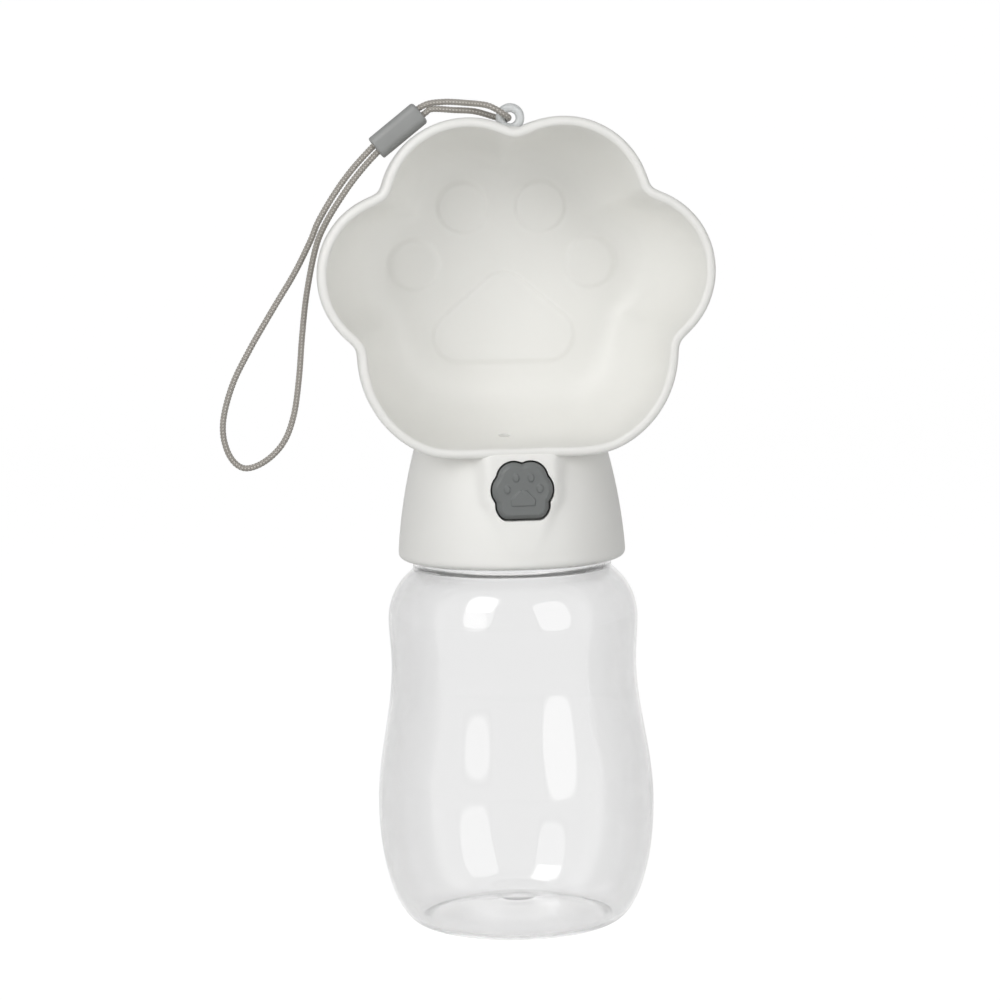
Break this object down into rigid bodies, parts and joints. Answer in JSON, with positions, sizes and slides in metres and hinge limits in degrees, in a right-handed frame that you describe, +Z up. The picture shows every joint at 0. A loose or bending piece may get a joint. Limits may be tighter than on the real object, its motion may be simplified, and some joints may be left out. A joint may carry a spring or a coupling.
{
  "type": "dog travel water bottle",
  "caption": "Clear gourd-shaped bottle with a screw-on collar, a paw-shaped drinking bowl facing forward, a push-button valve and a wrist lanyard.",
  "frame": {"origin": "under the middle of the bottle's base, on the plane it stands on", "axes": "+Z up along the bottle's axis, -Y towards the open side of the bowl and the button, +X to the right of someone who faces the bowl"},
  "size_m": [0.1279, 0.0736, 0.2189],
  "materials": {
    "clear_pet": "clear blown plastic, glossy",
    "white_abs_gloss": "glossy white moulding",
    "white_abs": "plain white moulding",
    "grey_abs": "fine satin",
    "silicone": "translucent silicone, matt",
    "black_rubber": "matt",
    "steel": "bright wire and screw steel",
    "clear_loop": "milky translucent plastic",
    "braid": "fine round braid",
    "grey_sleeve": "soft satin"
  },
  "bodies": {
    "bottle": {"bottle": "clear_pet"},
    "gasket": {"bottle_gasket": "silicone"},
    "head": {"bowl_housing": "white_abs_gloss", "inner_cap": "white_abs", "cap_screws": "steel", "chamber_gasket": "silicone", "valve_chamber": "white_abs", "valve_spring": "steel", "rod_seal": "black_rubber", "button_spring": "steel", "outlet_seal": "silicone", "vent_plug": "silicone", "eyelet": "clear_loop", "lanyard_cord": "braid", "lanyard_slider": "grey_sleeve"},
    "button": {"button": "grey_abs", "button_slide": "white_abs"},
    "valve": {"valve_stem": "white_abs", "valve_disc": "silicone", "stem_clip": "white_abs"}
  },
  "joints": [
    {"name": "head_rise", "type": "slide", "parent": "bottle", "child": "gasket", "axis": [0, 0, 1], "range_m": [0, 0.0061]},
    {"name": "head_turn", "type": "hinge", "parent": "gasket", "child": "head", "pos_m": [0, 0, 0], "axis": [0, 0, 1], "range_deg": [0, 540]},
    {"name": "button_press", "type": "slide", "parent": "head", "child": "button", "axis": [0, 1, 0], "range_m": [0, 0.0032], "stiffness_N_per_m": 400, "springref_m": -0.003, "deforming": ["button_spring"]},
    {"name": "valve_open", "type": "slide", "parent": "head", "child": "valve", "axis": [0, 0, -1], "range_m": [0, 0.00195], "deforming": ["valve_spring"]}
  ],
  "couplings": [
    {"joint": "head_rise", "follows": "head_turn", "m_per_rad": 0.00063662},
    {"joint": "valve_open", "follows": "button_press", "ratio": 0.6}
  ]
}
